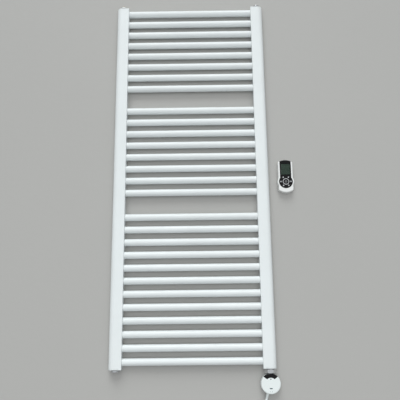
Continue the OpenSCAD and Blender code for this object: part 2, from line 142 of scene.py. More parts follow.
class RailColours(bpy.types.PropertyGroup):
    enamel: bpy.props.FloatVectorProperty(
        name="Enamel", description="Baked enamel on the rail", subtype="COLOR",
        size=3, default=(0.80, 0.84, 0.845), min=0, max=1)
    moulding: bpy.props.FloatVectorProperty(
        name="Moulding", description="White plastic of the control head", subtype="COLOR",
        size=3, default=(0.80, 0.85, 0.845), min=0, max=1)
    remote_case: bpy.props.FloatVectorProperty(
        name="Remote Case", description="White plastic of the remote", subtype="COLOR",
        size=3, default=(0.82, 0.83, 0.82), min=0, max=1)
    cord: bpy.props.FloatVectorProperty(
        name="Cord", description="Sheath of the mains cord and its plug", subtype="COLOR",
        size=3, default=(0.74, 0.76, 0.75), min=0, max=1)
    floor: bpy.props.FloatVectorProperty(
        name="Floor", description="Plain floor under the rail", subtype="COLOR",
        size=3, default=(0.43, 0.425, 0.41), min=0, max=1)


# ---------------------------------------------------------------- modelling helpers

def only(obj):
    """Select one object alone and make it active."""
    if bpy.context.object and bpy.context.object.mode != "OBJECT":
        bpy.ops.object.mode_set(mode="OBJECT")
    bpy.ops.object.select_all(action="DESELECT")
    obj.select_set(True)
    bpy.context.view_layer.objects.active = obj


def open_mesh():
    """Start editing the active object, with its whole mesh selected."""
    bpy.ops.object.mode_set(mode="EDIT")
    bpy.ops.mesh.select_all(action="SELECT")


def close_mesh():
    """Turn all faces outwards and stop editing."""
    bpy.ops.mesh.select_all(action="SELECT")
    bpy.ops.mesh.normals_make_consistent(inside=False)
    bpy.ops.object.mode_set(mode="OBJECT")


def freeze(obj):
    """Put the object's place, turn and scale into its mesh."""
    only(obj)
    bpy.ops.object.transform_apply(location=True, rotation=True, scale=True)
    return obj


def modify(obj, kind, **settings):
    """Add one modifier and apply it."""
    only(obj)
    modifier = obj.modifiers.new(kind.title(), kind)
    for name, value in settings.items():
        setattr(modifier, name, value)
    bpy.ops.object.modifier_apply(modifier=modifier.name)
    return obj


def soften(obj, width, segments=2, angle=35):
    """Round every edge sharper than the angle."""
    return modify(obj, "BEVEL", width=width, segments=segments, limit_method="ANGLE",
                  angle_limit=math.radians(angle), use_clamp_overlap=True,
                  harden_normals=False, miter_outer="MITER_ARC")


def clean(obj):
    """Merge the tiny edges that cutting leaves behind."""
    only(obj)
    open_mesh()
    bpy.ops.mesh.remove_doubles(threshold=TINY_EDGE)
    bpy.ops.mesh.dissolve_degenerate(threshold=TINY_EDGE)
    bpy.ops.mesh.select_all(action="SELECT")
    bpy.ops.mesh.dissolve_limited(angle_limit=math.radians(0.2))
    close_mesh()
    return obj


def combine(obj, other, operation):
    """Boolean with another object, which is used up."""
    modify(obj, "BOOLEAN", operation=operation, object=other, solver="EXACT")
    bpy.data.objects.remove(other)
    return obj


def block(low, high):
    """A box between two corners."""
    bpy.ops.object.select_all(action="DESELECT")
    low, high = Vector(low), Vector(high)
    bpy.ops.mesh.primitive_cube_add(size=1, location=(low + high) / 2)
    bpy.context.object.scale = high - low
    return freeze(bpy.context.object)


def drum(radius, low, high, centre=(0, 0), vertices=96, axis="Z"):
    """A round bar along an axis, between two heights on it."""
    bpy.ops.object.select_all(action="DESELECT")
    mid = (low + high) / 2
    place = {"Z": (centre[0], centre[1], mid), "Y": (centre[0], mid, centre[1]),
             "X": (mid, centre[0], centre[1])}[axis]
    turn = {"Z": (0, 0, 0), "Y": (math.pi / 2, 0, 0), "X": (0, math.pi / 2, 0)}[axis]
    bpy.ops.mesh.primitive_cylinder_add(vertices=vertices, radius=radius,
                                        depth=high - low, location=place, rotation=turn)
    return freeze(bpy.context.object)


def mm(*pairs):
    """A profile given in millimetres."""
    return [(radius * MM, height * MM) for radius, height in pairs]


def lathe(profile, vertices=64, closed=False):
    """A turned piece round Z, drawn out ring by ring from (radius, height) pairs."""
    bpy.ops.object.select_all(action="DESELECT")
    radius, height = profile[0]
    bpy.ops.mesh.primitive_circle_add(vertices=vertices, radius=radius,
                                      location=(0, 0, height))
    obj = freeze(bpy.context.object)
    open_mesh()
    if not closed:
        bpy.ops.mesh.edge_face_add()
        bpy.ops.mesh.select_all(action="SELECT")
    for next_radius, next_height in profile[1:]:
        bpy.ops.mesh.extrude_region_move(
            TRANSFORM_OT_translate={"value": (0, 0, next_height - height)})
        grow = next_radius / radius
        bpy.ops.transform.resize(value=(grow, grow, 1),
                                 center_override=(0, 0, next_height))
        radius, height = next_radius, next_height
    bpy.ops.mesh.select_all(action="SELECT")
    bpy.ops.mesh.remove_doubles(threshold=1e-6)
    close_mesh()
    return obj


def aim(obj, axis, place):
    """Turn a piece made round Z to another axis and move it to its place."""
    direction = Vector(axis)
    obj.rotation_mode = "QUATERNION"
    obj.rotation_quaternion = direction.to_track_quat("Z", "Y")
    obj.location = place
    return freeze(obj)


def copy_of(obj):
    """A copy with its own mesh."""
    only(obj)
    bpy.ops.object.duplicate(linked=False)
    return bpy.context.object


def join(objects):
    """Join several objects into the first one."""
    only(objects[0])
    for obj in objects[1:]:
        obj.select_set(True)
    bpy.ops.object.join()
    return bpy.context.object


def smoothed_node(node, width=None, segments=2, angle=35):
    """A copy of a CAD node with clean faces and its sharp edges rounded."""
    obj = copy_of(frame["nodes"][node])
    bpy.ops.object.parent_clear(type="CLEAR")
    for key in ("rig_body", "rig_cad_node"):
        if key in obj:
            del obj[key]
    open_mesh()
    bpy.ops.mesh.customdata_custom_splitnormals_clear()
    bpy.ops.mesh.remove_doubles(threshold=2e-6)
    bpy.ops.mesh.dissolve_limited(angle_limit=math.radians(0.6))
    bpy.ops.object.mode_set(mode="OBJECT")
    if width:
        soften(obj, width, segments, angle)
    return obj


def finish_piece(obj, name, body, slot, look, *stands_for):
    """Name a made piece, give it its finish, and tie it to its body."""
    freeze(obj)
    obj.name = obj.data.name = name
    bpy.ops.object.shade_smooth_by_angle(angle=math.radians(32))
    modify(obj, "WEIGHTED_NORMAL", keep_sharp=True)
    obj.data.materials.clear()
    obj.data.materials.append(finish(look))
    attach(obj, body)
    if stands_for:
        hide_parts(*stands_for)


def finish_nodes(body, *rows):
    """Softened copies of CAD nodes: node, piece, slot, finish and the rounding's settings."""
    for node, name, slot, look, *rounding in rows:
        finish_piece(smoothed_node(node, *rounding), name, body, slot, look, node)


# ---------------------------------------------------------------- shader groups

def new_group(name, output, inputs):
    """A shader node group that takes a vector and named inputs and gives one output."""
    group = bpy.data.node_groups.new(name, "ShaderNodeTree")
    kinds = {3: "NodeSocketVector", 4: "NodeSocketColor"}
    for socket, default in {"Vector": (0, 0, 0), **inputs}.items():
        kind = kinds[len(default)] if isinstance(default, tuple) else "NodeSocketFloat"
        made = group.interface.new_socket(socket, in_out="INPUT", socket_type=kind)
        made.default_value = default
    kind = "NodeSocketColor" if output == "Color" else "NodeSocketFloat"
    group.interface.new_socket(output, in_out="OUTPUT", socket_type=kind)
    into = group.nodes.new("NodeGroupInput").outputs
    return group, into, group.nodes.new("NodeGroupOutput").inputs[output]


def feed(tree, socket, value):
    """Link an output to a socket, or give the socket a value of its own."""
    if isinstance(value, bpy.types.NodeSocket):
        tree.links.new(value, socket)
    elif isinstance(value, (tuple, list)):
        socket.default_value = (*value[:3], 1)
    else:
        socket.default_value = value


def noise(tree, vector, scale, detail, rough):
    """A noise texture's value."""
    node = tree.nodes.new("ShaderNodeTexNoise")
    for socket, value in (("Vector", vector), ("Scale", scale), ("Detail", detail),
                          ("Roughness", rough)):
        feed(tree, node.inputs[socket], value)
    return node.outputs["Fac"]


def maths(tree, operation, first, second):
    """The result of a sum on two values."""
    node = tree.nodes.new("ShaderNodeMath")
    node.operation = operation
    feed(tree, node.inputs[0], first)
    feed(tree, node.inputs[1], second)
    return node.outputs[0]


def spread(tree, value, low, high, to_low=0.0, to_high=1.0):
    """Map a range of values onto another."""
    node = tree.nodes.new("ShaderNodeMapRange")
    for socket, part in (("Value", value), ("From Min", low), ("From Max", high),
                         ("To Min", to_low), ("To Max", to_high)):
        feed(tree, node.inputs[socket], part)
    return node.outputs["Result"]


def colour_mix(tree, factor, first, second):
    """Two colours mixed by a factor."""
    node = tree.nodes.new("ShaderNodeMix")
    node.data_type = "RGBA"
    for socket, value in ((0, factor), (6, first), (7, second)):
        feed(tree, node.inputs[socket], value)
    return node.outputs[2]


def tone_drift_group():
    """Slow changes of tone over a surface."""
    group, into, out = new_group("Tone Drift", "Color", {
        "Color": (1, 1, 1, 1), "Tint": (0.5, 0.5, 0.5, 1), "Amount": 0.1, "Size": 12.0})
    broad = spread(group, noise(group, into["Vector"], into["Size"], 4, 0.6), 0.35, 0.7)
    mask = maths(group, "MULTIPLY", broad, into["Amount"])
    feed(group, out, colour_mix(group, mask, into["Color"], into["Tint"]))
    return group


def gloss_drift_group():
    """Roughness that wanders between two values, with fine smears."""
    group, into, out = new_group("Gloss Drift", "Roughness", {
        "Low": 0.2, "High": 0.3, "Size": 30.0})
    value = noise(group, into["Vector"], into["Size"], 5, 0.65)
    feed(group, out, spread(group, value, 0.3, 0.7, into["Low"], into["High"]))
    return group


def surface_grain_group():
    """The height of a fine even texture, such as orange peel, moulding grain or casting skin."""
    group, into, out = new_group("Surface Grain", "Height", {
        "Size": 800.0, "Fine Share": 0.3})
    coarse = noise(group, into["Vector"], into["Size"], 1, 0.4)
    fine_size = maths(group, "MULTIPLY", into["Size"], 3.7)
    fine = noise(group, into["Vector"], fine_size, 2, 0.5)
    feed(group, out, maths(group, "ADD", coarse,
                           maths(group, "MULTIPLY", fine, into["Fine Share"])))
    return group


def dust_group():
    """Where dust settles: patches on faces that look up."""
    group, into, out = new_group("Settled Dust", "Mask", {"Amount": 0.1})
    geometry = group.nodes.new("ShaderNodeNewGeometry")
    parts = group.nodes.new("ShaderNodeSeparateXYZ")
    group.links.new(geometry.outputs["Normal"], parts.inputs[0])
    up = spread(group, parts.outputs["Z"], 0.2, 0.95)
    specks = spread(group, noise(group, into["Vector"], 900, 2, 0.7), 0.56, 0.68)
    film = spread(group, noise(group, into["Vector"], 14, 3, 0.5), 0.4, 0.7, 0.1, 0.6)
    both = maths(group, "MAXIMUM", specks, film)
    feed(group, out, maths(group, "MULTIPLY", maths(group, "MULTIPLY", up, both),
                           into["Amount"]))
    return group


GROUPS = {}


def group_node(tree, name, **values):
    """Place a shared group in a material with its own values."""
    makers = {"Tone Drift": tone_drift_group, "Gloss Drift": gloss_drift_group,
              "Surface Grain": surface_grain_group, "Settled Dust": dust_group}
    if name not in GROUPS:
        GROUPS[name] = makers[name]()
    node = tree.nodes.new("ShaderNodeGroup")
    node.node_tree = GROUPS[name]
    for socket, value in values.items():
        node.inputs[socket.replace("_", " ")].default_value = value
    return node


def start_material(name, metallic=0.0, **constants):
    """A new material with its node tree and its object coordinates."""
    material = bpy.data.materials.new(name)
    material.use_nodes = True
    tree = material.node_tree
    shader = tree.nodes["Principled BSDF"]
    shader.inputs["Metallic"].default_value = metallic
    for socket, value in constants.items():
        shader.inputs[socket.replace("_", " ")].default_value = value
    return material, tree, tree.nodes.new("ShaderNodeTexCoord").outputs["Object"]


def add_finish(material, place, colour, tint, drift, rough, grain=None, depth=0.0,
               dust=0.0, drift_size=12.0):
    """Tone, gloss, grain and dust for one material."""
    tree = material.node_tree
    shader = tree.nodes["Principled BSDF"]
    tone = group_node(tree, "Tone Drift", Tint=(*tint, 1), Amount=drift, Size=drift_size)
    tree.links.new(place, tone.inputs["Vector"])
    feed(tree, tone.inputs["Color"], colour)
    base = tone.outputs["Color"]
    gloss = group_node(tree, "Gloss Drift", Low=rough[0], High=rough[1])
    tree.links.new(place, gloss.inputs["Vector"])
    roughness = gloss.outputs["Roughness"]
    if dust:
        settled = group_node(tree, "Settled Dust", Amount=dust)
        tree.links.new(place, settled.inputs["Vector"])
        base = colour_mix(tree, settled.outputs["Mask"], base, (0.45, 0.43, 0.40))
        roughness = maths(tree, "ADD", roughness,
                          maths(tree, "MULTIPLY", settled.outputs["Mask"], 0.5))
    tree.links.new(base, shader.inputs["Base Color"])
    tree.links.new(roughness, shader.inputs["Roughness"])
    if grain:
        skin = group_node(tree, "Surface Grain", Size=grain)
        tree.links.new(place, skin.inputs["Vector"])
        bump = tree.nodes.new("ShaderNodeBump")
        bump.inputs["Strength"].default_value = 1.0
        bump.inputs["Distance"].default_value = depth
        tree.links.new(skin.outputs["Height"], bump.inputs["Height"])
        tree.links.new(bump.outputs["Normal"], shader.inputs["Normal"])
    return material


def baked_enamel(name):
    """The rail's fired white paint, with a trace of orange peel."""
    colour = tuple(bpy.context.scene.rail_colours.enamel)
    material, _, place = start_material(name, Specular_IOR_Level=0.3, Coat_Weight=0.08,
                                        Coat_Roughness=0.1)
    return add_finish(material, place, colour, [c * 0.93 for c in colour], 0.5, (0.27, 0.36),
                      grain=420, depth=0.012 * MM, dust=0.08, drift_size=9)


def polished_chrome(name):
    """Bright plating that has been handled a little."""
    material, _, place = start_material(name, metallic=1.0)
    return add_finish(material, place, (0.72, 0.73, 0.75), (0.50, 0.49, 0.48), 0.25,
                      (0.05, 0.12), grain=2500, depth=0.004 * MM, dust=0.05, drift_size=160)


def metal_finish(name, colour, tint, rough, brushed_axis=None):
    """A bare metal, drawn along an axis where one is given."""
    material, tree, place = start_material(name, metallic=1.0)
    if brushed_axis is not None:
        stretch = tree.nodes.new("ShaderNodeMapping")
        size = [1.0, 1.0, 1.0]
        size[brushed_axis] = 0.03
        stretch.inputs["Scale"].default_value = size
        tree.links.new(place, stretch.inputs["Vector"])
        place = stretch.outputs["Vector"]
    return add_finish(material, place, colour, tint, 0.4, rough, grain=3000, depth=0.012 * MM,
                      drift_size=200)


def moulded(name, colour, rough, grain=1800, depth=0.01 * MM, dust=0.06, coat=0.0,
            shine=0.5):
    """A moulded plastic with a fine grain."""
    material, _, place = start_material(name, Coat_Weight=coat, Coat_Roughness=0.05,
                                        Specular_IOR_Level=shine)
    return add_finish(material, place, colour, [c * 0.9 for c in colour], 0.35, rough,
                      grain=grain, depth=depth, dust=dust, drift_size=40)


def rubber_finish(name):
    """Soft black rubber."""
    colour = (0.012, 0.012, 0.013)
    material, _, place = start_material(name, Sheen_Weight=0.15)
    return add_finish(material, place, colour, [c * 2.2 + 0.01 for c in colour], 0.5,
                      (0.6, 0.8), grain=1500, depth=0.05 * MM, dust=0.15, drift_size=60)


def circuit_board_finish(name):
    """Green lacquer over copper tracks."""
    material, tree, place = start_material(name, Coat_Weight=0.4)
    bricks = tree.nodes.new("ShaderNodeTexBrick")
    bricks.inputs["Scale"].default_value = 260
    bricks.inputs["Mortar Size"].default_value = 0.09
    bricks.inputs["Color1"].default_value = (0.012, 0.10, 0.045, 1)
    bricks.inputs["Color2"].default_value = (0.016, 0.13, 0.055, 1)
    bricks.inputs["Mortar"].default_value = (0.30, 0.26, 0.10, 1)
    tree.links.new(place, bricks.inputs["Vector"])
    return add_finish(material, place, bricks.outputs["Color"], (0.01, 0.06, 0.03), 0.3,
                      (0.25, 0.4), grain=2000, depth=0.02 * MM)


def display_finish(name):
    """A resting liquid-crystal panel: grey-green with faint rows."""
    material, tree, place = start_material(name)
    rows = tree.nodes.new("ShaderNodeTexWave")
    rows.wave_type = "BANDS"
    rows.bands_direction = "Y"
    rows.inputs["Scale"].default_value = 55
    rows.inputs["Distortion"].default_value = 0.0
    tree.links.new(place, rows.inputs["Vector"])
    faint = maths(tree, "MULTIPLY", rows.outputs["Fac"], 0.35)
    colour = colour_mix(tree, faint, (0.060, 0.100, 0.074), (0.036, 0.062, 0.045))
    return add_finish(material, place, colour, (0.075, 0.11, 0.085), 0.3, (0.25, 0.35),
                      grain=1500, depth=0.004 * MM)


def clear_window(name):
    """The display's thin clear pane."""
    colour = (0.012, 0.02, 0.014)
    material, _, place = start_material(name, Alpha=0.12, Specular_IOR_Level=0.3)
    return add_finish(material, place, colour, [c * 0.9 for c in colour], 0.2, (0.02, 0.06),
                      grain=600, depth=0.002 * MM)


def battery_finish(name):
    """A wrapped cell: a dark sleeve with a copper-coloured band at one end."""
    material, tree, place = start_material(name, metallic=0.6, Coat_Weight=0.5)
    parts = tree.nodes.new("ShaderNodeSeparateXYZ")
    tree.links.new(place, parts.inputs[0])
    low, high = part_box("remote_batteries")
    band_at = low.y + 0.72 * (high.y - low.y)
    band = spread(tree, parts.outputs["Y"], band_at, band_at + 0.1 * MM)
    colour = colour_mix(tree, band, (0.02, 0.02, 0.022), (0.55, 0.27, 0.08))
    return add_finish(material, place, colour, (0.05, 0.05, 0.05), 0.2, (0.25, 0.35), grain=900,
                      depth=0.01 * MM)


def strap_finish(name):
    """A woven hook-and-loop strap."""
    material, tree, place = start_material(name, Sheen_Weight=0.4)
    weave = tree.nodes.new("ShaderNodeTexVoronoi")
    weave.inputs["Scale"].default_value = 1400
    tree.links.new(place, weave.inputs["Vector"])
    add_finish(material, place, (0.018, 0.018, 0.019), (0.05, 0.05, 0.05), 0.5, (0.8, 0.95))
    bump = tree.nodes.new("ShaderNodeBump")
    bump.inputs["Distance"].default_value = 0.15 * MM
    tree.links.new(weave.outputs["Distance"], bump.inputs["Height"])
    tree.links.new(bump.outputs["Normal"], tree.nodes["Principled BSDF"].inputs["Normal"])
    return material


FINISHES = {}


def finish(name):
    """One of the object's finishes, made when it is first asked for."""
    colours = bpy.context.scene.rail_colours
    dustless = {"dust": 0.0}
    metals = {
        "Drawn Steel": ((0.52, 0.52, 0.53), (0.36, 0.35, 0.34), (0.22, 0.38), 1),
        "Bright Nickel": ((0.66, 0.64, 0.60), (0.5, 0.47, 0.42), (0.12, 0.22), 0),
        "Black Oxide": ((0.05, 0.05, 0.055), (0.12, 0.1, 0.09), (0.35, 0.5)),
        "Vent Brass": ((0.60, 0.44, 0.18), (0.38, 0.25, 0.1), (0.2, 0.35)),
    }
    plastics = {
        "Head Moulding": (tuple(colours.moulding), (0.26, 0.36), {"coat": 0.15}),
        "Smoked Window": ((0.004, 0.0035, 0.0045), (0.05, 0.1), {
            "grain": 700, "depth": 0.002 * MM, "dust": 0.02, "shine": 0.2}),
        "Status Lens": ((0.035, 0.012, 0.012), (0.1, 0.2), {"coat": 0.2, "dust": 0.0}),
        "Slate Key": ((0.105, 0.155, 0.17), (0.35, 0.45), {}),
        "Part Black": ((0.02, 0.02, 0.022), (0.4, 0.55), dustless),
        "Relay Blue": ((0.03, 0.06, 0.2), (0.35, 0.45), dustless),
        "Terminal Ivory": ((0.62, 0.60, 0.5), (0.35, 0.5), dustless),
        "Cord Sheath": (tuple(colours.cord), (0.38, 0.5), {
            "grain": 900, "depth": 0.03 * MM, "dust": 0.12}),
        "Remote White": (tuple(colours.remote_case), (0.22, 0.32), {"coat": 0.2}),
        "Remote Black": ((0.004, 0.004, 0.0045), (0.14, 0.24), {"dust": 0.02, "shine": 0.22}),
        "Silver Print": ((0.52, 0.53, 0.54), (0.3, 0.42), {"dust": 0.02}),
        "Cap Grey": ((0.10, 0.10, 0.105), (0.3, 0.42), {"dust": 0.02}),
    }
    others = {"Baked Enamel": baked_enamel, "Polished Chrome": polished_chrome,
              "Circuit Board": circuit_board_finish, "Seal Rubber": rubber_finish,
              "Strap": strap_finish, "Display Pane": clear_window,
              "Display Panel": display_finish, "Battery Sleeve": battery_finish}
    if name not in FINISHES:
        if name in metals:
            FINISHES[name] = metal_finish(name, *metals[name])
        elif name in plastics:
            colour, rough, extra = plastics[name]
            FINISHES[name] = moulded(name, colour, rough, **extra)
        else:
            FINISHES[name] = others[name](name)
    return FINISHES[name]


def dress_nodes(looks):
    """Give the CAD nodes that stay their finishes."""
    for look, nodes in looks.items():
        for node in nodes:
            mesh = frame["nodes"][node].data
            for slot in range(max(1, len(mesh.materials))):
                if slot < len(mesh.materials):
                    mesh.materials[slot] = finish(look)
                else:
                    mesh.materials.append(finish(look))


# ---------------------------------------------------------------- operators

class TOWELRAIL_OT_stage(bpy.types.Operator):
    """Set up the floor, the soft lights and the camera"""
    bl_idname = "towelrail.stage"
    bl_label = "Stage"

    def execute(self, context):
        scene = context.scene
        scene.view_settings.view_transform = "Standard"
        size = scene.rail_sizes.floor_size
        bpy.ops.mesh.primitive_grid_add(x_subdivisions=8, y_subdivisions=8, size=size,
                                        location=(0, 0, 0))
        floor = context.object
        floor.name = "floor"
        material, _, place = start_material("Plain Floor")
        colour = tuple(scene.rail_colours.floor)
        add_finish(material, place, colour, [c * 0.97 for c in colour], 0.5,
                   (0.55, 0.65), grain=60, depth=0.2 * MM, drift_size=1.5)
        floor.data.materials.append(material)

        # a broad window light low on the far side, and a ceiling that gives no glints
        bpy.ops.object.light_add(type="SUN", location=(-0.4, 4.0, 3.0),
                                 rotation=(math.radians(-57), 0, math.radians(4)))
        window = context.object
        window.name = "window_light"
        window.data.energy = 1.55
        window.data.angle = math.radians(38)
        window.data.color = (0.97, 1.0, 1.0)
        bpy.ops.object.light_add(type="AREA", location=(0.1, -0.2, 5.0))
        ceiling = context.object
        ceiling.name = "ceiling_light"
        ceiling.data.shape = "SQUARE"
        ceiling.data.size = 5.0
        ceiling.data.energy = 75
        ceiling.visible_glossy = False
        world = bpy.data.worlds.new("Soft Room")
        world.use_nodes = True
        sky = world.node_tree
        background = sky.nodes["Background"]
        background.inputs[1].default_value = 1.0
        height = sky.nodes.new("ShaderNodeSeparateXYZ")
        sky.links.new(sky.nodes.new("ShaderNodeTexCoord").outputs["Generated"],
                      height.inputs[0])
        rise = spread(sky, height.outputs["Z"], 0.0, 0.9)
        sky.links.new(colour_mix(sky, rise, (0.24, 0.245, 0.25), (0.60, 0.62, 0.63)),
                      background.inputs[0])
        scene.world = world

        bpy.ops.object.camera_add(location=(0.0382, -0.4876, 1.6912))
        camera = context.object
        camera.name = "camera"
        camera.rotation_mode = "ZXY"
        camera.rotation_euler = (math.radians(13.56), math.radians(0.34),
                                 math.radians(-0.65))
        camera.data.sensor_width = 36
        camera.data.lens = 48.6
        camera.data.clip_start = 0.05
        scene.camera = camera
        return {"FINISHED"}


def coil_points(radius):
    """The wound part of the cord: in along the floor, up, and out on top."""
    per_turn = 24
    outer, inner, step = 0.040, 0.0243, 0.006
    turns_in, turns_up, turns_out = 2.5, 0.5, 2.25
    total = turns_in + turns_up + turns_out
    points = []
    for i in range(int(total * per_turn) + 1):
        turn = i / per_turn
        if turn <= turns_in:
            share = turn / turns_in
            away = outer + (inner - outer) * share
            height = COIL_LOW
        elif turn <= turns_in + turns_up:
            share = (turn - turns_in) / turns_up
            away = inner
            height = COIL_LOW + 2 * radius * share * share * (3 - 2 * share)
        else:
            away = inner + step * (turn - turns_in - turns_up)
            height = COIL_LOW + 2 * radius
        angle = -2 * math.pi * turn
        points.append(COIL_CENTRE + Vector((away * math.cos(angle),
                                            away * math.sin(angle), height)))
    return points


def ribbed_profile(length, thick, thin, ribs, depth):
    """A tapering sleeve with rings cut round it."""
    profile = [(thick * 0.9, 0.0), (thick, 0.4 * MM)]
    first = 0.12 * length
    pitch = (0.86 * length - first) / ribs

    def radius_at(height):
        return thick + (thin - thick) * height / length

    for i in range(ribs):
        start = first + i * pitch
        for share, cut in ((0.0, 0), (0.12, depth), (0.34, depth), (0.46, 0)):
            height = start + share * pitch
            profile.append((radius_at(height) - cut, height))
    profile += [(radius_at(length - 0.5 * MM), length - 0.5 * MM),
                (thin - 0.45 * MM, length)]
    return profile


class TOWELRAIL_OT_cord(bpy.types.Operator):
    """Build the mains cord with its guard, coil, tie and plug"""
    bl_idname = "towelrail.cord"
    bl_label = "Cord and Plug"

    def execute(self, context):
        radius = context.scene.rail_sizes.cord_diameter / 2
        points = [HEAD + Vector(p) for p in LEAD_POINTS]
        points += [HEAD + p for p in coil_points(radius)]
        points += [HEAD + Vector(p) for p in TAIL_POINTS]
        curve = bpy.data.curves.new("mains_cord", "CURVE")
        curve.dimensions = "3D"
        curve.resolution_u = 3
        curve.bevel_depth = radius
        curve.bevel_resolution = 4
        curve.use_fill_caps = True
        spline = curve.splines.new("BEZIER")
        spline.bezier_points.add(len(points) - 1)
        for knot, point in zip(spline.bezier_points, points):
            knot.co = point
            knot.handle_left_type = knot.handle_right_type = "AUTO"
        cord = bpy.data.objects.new("mains_cord", curve)
        context.scene.collection.objects.link(cord)
        curve.materials.append(finish("Cord Sheath"))
        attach(cord, "rail")
        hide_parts("cord_lead", "cord_coil", "cord_tail")

        # the guard on the head
        exit_point = points[0]
        angle = math.radians(16)
        way = Vector((-math.sin(angle), -math.cos(angle), 0))
        guard_length = 22 * MM
        guard = lathe(ribbed_profile(guard_length, 4.5 * MM, 3.7 * MM, 4, 0.7 * MM))
        soften(guard, 0.15 * MM, 1, 30)
        aim(guard, way, exit_point - way * guard_length)
        finish_piece(guard, "cord_sleeve", "rail", "white_cord", "Head Moulding", "cord_guard")

        # the coil's tie
        finish_nodes("rail", ("cord_tie", "coil_strap", "tie_plastic", "Strap", 0.2 * MM))

        # the plug lies with its pins to -X
        joint = HEAD + Vector(TAIL_POINTS[-1])
        plug_guard = lathe(ribbed_profile(30 * MM, 6 * MM, 3.7 * MM, 6, 0.9 * MM))
        soften(plug_guard, 0.15 * MM, 1, 30)
        aim(plug_guard, (1, 0, 0), joint - Vector((30 * MM, 0, 0)))
        finish_piece(plug_guard, "plug_sleeve", "rail", "white_cord", "Cord Sheath",
                     "plug_guard")

        low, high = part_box("plug_body")
        axis_y, axis_z = (low.y + high.y) / 2, joint.z
        back, front = high.x, low.x
        body = lathe(mm((9.6, 0), (11, 1.0), (12.1, 4), (13.3, 9), (14.9, 15), (16.2, 18.5),
                        (18.2, 20.2), (18.8, 21.5), (18.9, 24), (18.9, 38.4), (18.4, 39.5),
                        (17.6, 40)), vertices=96)
        aim(body, (-1, 0, 0), (back, axis_y, axis_z))
        for side in (-1, 1):
            # slots for the earth clips, and flats for the fingers
            clip_z = axis_z + side * 17.6 * MM
            slot = block((front - 1 * MM, axis_y - 3 * MM, clip_z - 1.4 * MM),
                         (front + 21 * MM, axis_y + 3 * MM, clip_z + 1.4 * MM))
            combine(body, slot, "DIFFERENCE")
            for rib in range(4):
                place = back - (5 + 3.2 * rib) * MM
                reach = axis_y + side * (12.3 + 1.1 * rib) * MM
                groove = block((place - 0.6 * MM, reach - 1.5 * MM, axis_z - 7 * MM),
                               (place + 0.6 * MM, reach + 1.5 * MM, axis_z + 7 * MM))
                combine(body, groove, "DIFFERENCE")
        soften(body, 0.3 * MM, 2, 40)
        finish_piece(body, "plug_shell", "rail", "white_cord", "Cord Sheath", "plug_body")

        pins = []
        for side in (-1, 1):
            pin = lathe(mm((2.4, 0), (2.4, 16.2), (2.25, 17.4), (1.8, 18.4), (1.0, 19)),
                        vertices=32)
            pins.append(aim(pin, (-1, 0, 0), (front, axis_y + side * 9.5 * MM, axis_z)))
        finish_piece(join(pins), "plug_contact_pins", "rail", "steel", "Bright Nickel",
                     "plug_pins")

        finish_nodes("rail", ("plug_earth_clips", "plug_earth_springs", "steel",
                              "Bright Nickel", 0.35 * MM, 3))

        return {"FINISHED"}


def d_bar(side, low_y, high_y):
    """A bar of the collector's section: flat towards the tubes, round outside."""
    radius = RAIL_DEPTH / 2
    outer = RAIL_HIGH.x
    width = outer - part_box("collector_right")[0].x
    centre_x = side * (outer - radius)
    bar = drum(radius, low_y, high_y, (centre_x, radius), axis="Y")
    open_mesh()
    bpy.ops.mesh.bisect(plane_co=(centre_x, 0, 0), plane_no=(side, 0, 0),
                        use_fill=True, clear_inner=True)
    bpy.ops.object.mode_set(mode="OBJECT")
    for face in bar.data.polygons:
        face.select = face.normal.x * side < -0.99
    bpy.ops.object.mode_set(mode="EDIT")
    bpy.ops.mesh.extrude_region_move(
        TRANSFORM_OT_translate={"value": (-side * (width - radius), 0, 0)})
    close_mesh()
    return bar


class TOWELRAIL_OT_collectors(bpy.types.Operator):
    """Build the two D-section collectors and their end plates"""
    bl_idname = "towelrail.collectors"
    bl_label = "Collectors"

    def execute(self, context):
        soft = context.scene.rail_sizes.edge_soften
        nut_low, nut_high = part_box("element_nut")
        for side, word in ((-1, "left"), (1, "right")):
            low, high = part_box(f"collector_{word}")
            bar = d_bar(side, low.y, high.y)
            # only the long edges are rounded: the ends meet the end plates
            for edge in bar.data.edges:
                a, b = (bar.data.vertices[v].co for v in edge.vertices)
                edge.select = abs(a.y - b.y) > 0.1 and abs(a.x) < RAIL_HIGH.x - 0.03
            only(bar)
            bpy.ops.object.mode_set(mode="EDIT")
            bpy.ops.mesh.bevel(offset=soft, segments=4, profile=0.5, affect="EDGES")
            bpy.ops.object.mode_set(mode="OBJECT")
            finish_piece(bar, f"collector_bar_{word}", "rail", "white_enamel", "Baked Enamel",
                         f"collector_{word}")

            port_x = side * abs(nut_low.x + nut_high.x) / 2
            plates = []
            plate_low, plate_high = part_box(f"end_plates_{word}")
            for end, inner, outer in ((1, high.y, plate_high.y), (-1, plate_low.y, low.y)):
                plate = d_bar(side, inner, outer)
                soften(plate, soft * 1.4, 3, 50)
                reach = (outer - BOSS_LENGTH, outer - 1 * MM) if end > 0 else (
                    inner + 1 * MM, inner + BOSS_LENGTH)
                boss = drum(BOSS_RADIUS, *reach, (port_x, RAIL_DEPTH / 2), axis="Y")
                combine(plate, boss, "UNION")
                hole = drum(THREAD_RADIUS, plate_low.y - 1, plate_high.y + 1,
                            (port_x, RAIL_DEPTH / 2), axis="Y")
                combine(plate, hole, "DIFFERENCE")
                plates.append(plate)
            finish_piece(join(plates), f"end_caps_{word}", "rail", "white_enamel",
                         "Baked Enamel", f"end_plates_{word}")
        return {"FINISHED"}


